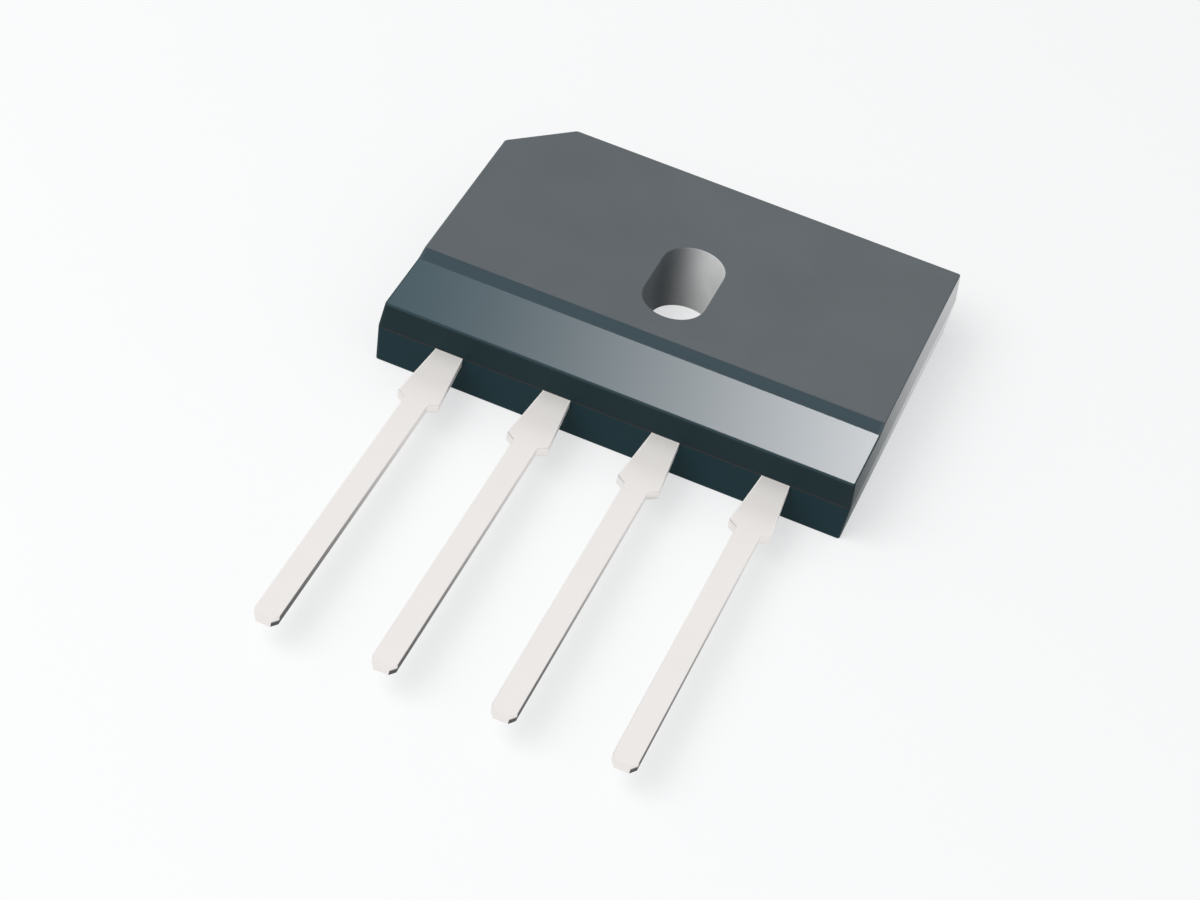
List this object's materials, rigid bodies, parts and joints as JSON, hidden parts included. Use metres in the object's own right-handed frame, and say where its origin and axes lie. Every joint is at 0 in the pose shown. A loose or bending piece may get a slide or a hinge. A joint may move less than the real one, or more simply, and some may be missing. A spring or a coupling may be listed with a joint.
{
  "type": "bridge rectifier",
  "caption": "Flat moulded bridge rectifier with in-line leads, a polarity chamfer, a lowered ledge and a screw slot, with its stamped pads, dice, clips and solder inside.",
  "frame": {"origin": "middle of the screw slot, on the heat-sink face", "axes": "+Z from the heat-sink face out of the front face, -Y along the leads, +X across the body from the chamfered positive end to the negative end"},
  "size_m": [0.022, 0.035, 0.0034],
  "materials": {
    "moulding_resin": "grey moulded epoxy resin, finely textured",
    "tinned_lead": "satin tin plate on stamped copper sheet",
    "silicon": "diced silicon",
    "copper_clip": "stamped copper strip",
    "solder": "dull soft solder"
  },
  "bodies": {
    "root": {"moulded_body": "moulding_resin", "lead_positive": "tinned_lead", "lead_ac_1": "tinned_lead", "lead_ac_2": "tinned_lead", "lead_negative": "tinned_lead", "die_1": "silicon", "die_2": "silicon", "die_3": "silicon", "die_4": "silicon", "clip_ac_1": "copper_clip", "clip_ac_2": "copper_clip", "clip_negative": "copper_clip", "solder_under_die_1": "solder", "solder_under_die_2": "solder", "solder_under_die_3": "solder", "solder_under_die_4": "solder", "solder_over_die_1": "solder", "solder_over_die_2": "solder", "solder_over_die_3": "solder", "solder_over_die_4": "solder", "solder_foot_ac_1": "solder", "solder_foot_ac_2": "solder", "solder_foot_negative": "solder"}
  },
  "joints": []
}
